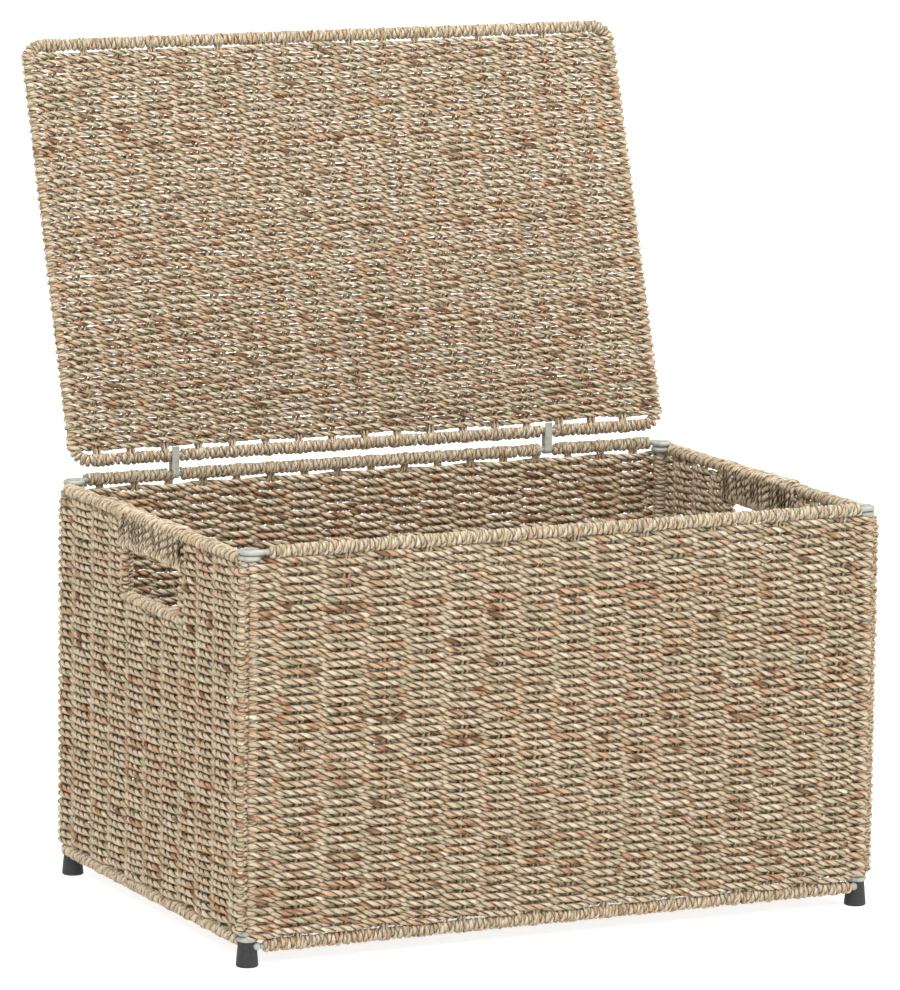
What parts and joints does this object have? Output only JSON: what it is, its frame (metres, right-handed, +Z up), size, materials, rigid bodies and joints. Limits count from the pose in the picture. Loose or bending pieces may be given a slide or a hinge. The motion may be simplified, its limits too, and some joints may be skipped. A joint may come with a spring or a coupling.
{
  "type": "wicker storage trunk",
  "caption": "Open-topped seagrass storage trunk on a wire frame, with a flat woven lid hinged at the back, a handle opening in each end and a tapered foot under each corner.",
  "frame": {"origin": "on the floor under the middle of the whole outline, which includes the lid leaning open behind the back wall", "axes": "+X across the width to the right, +Y from the front wall to the back wall and the hinge, +Z up"},
  "size_m": [0.6306, 0.532, 0.7516],
  "materials": {
    "seagrass": "matt twisted seagrass cord, tan with grey-green and red-brown plies",
    "frame_wire": "satin grey-green paint",
    "strap": "satin grey-green paint",
    "foot": "matt charcoal black"
  },
  "bodies": {
    "trunk": {"back_bottom_rail": "frame_wire", "back_bottom_wrap": "seagrass", "back_edge_wires": "frame_wire", "back_left_foot": "foot", "back_left_rod": "frame_wire", "back_right_foot": "foot", "back_right_rod": "frame_wire", "back_stakes": "seagrass", "back_top_rail": "frame_wire", "back_top_wrap": "seagrass", "back_weave": "seagrass", "base_edge_wires": "frame_wire", "base_rails": "frame_wire", "base_stakes": "seagrass", "base_weave": "seagrass", "front_bottom_rail": "frame_wire", "front_bottom_wrap": "seagrass", "front_edge_wires": "frame_wire", "front_left_foot": "foot", "front_left_rod": "frame_wire", "front_right_foot": "foot", "front_right_rod": "frame_wire", "front_stakes": "seagrass", "front_top_rail": "frame_wire", "front_top_wrap": "seagrass", "front_weave": "seagrass", "left_bottom_rail": "frame_wire", "left_bottom_wrap": "seagrass", "left_edge_wires": "frame_wire", "left_grip": "seagrass", "left_handle_wires": "frame_wire", "left_hinge_strap": "strap", "left_sill": "seagrass", "left_stakes": "seagrass", "left_top_rail": "frame_wire", "left_top_wrap": "seagrass", "left_weave": "seagrass", "right_bottom_rail": "frame_wire", "right_bottom_wrap": "seagrass", "right_edge_wires": "frame_wire", "right_grip": "seagrass", "right_handle_wires": "frame_wire", "right_hinge_strap": "strap", "right_sill": "seagrass", "right_stakes": "seagrass", "right_top_rail": "frame_wire", "right_top_wrap": "seagrass", "right_weave": "seagrass"},
    "lid": {"lid_frame": "frame_wire", "lid_front_wrap": "seagrass", "lid_rear_wrap": "seagrass", "lid_stakes": "seagrass", "lid_weave": "seagrass"}
  },
  "joints": [
    {"name": "lid_hinge", "type": "hinge", "parent": "trunk", "child": "lid", "pos_m": [0, 0.1426, 0.38], "axis": [1, 0, 0], "range_deg": [0, 109]}
  ]
}
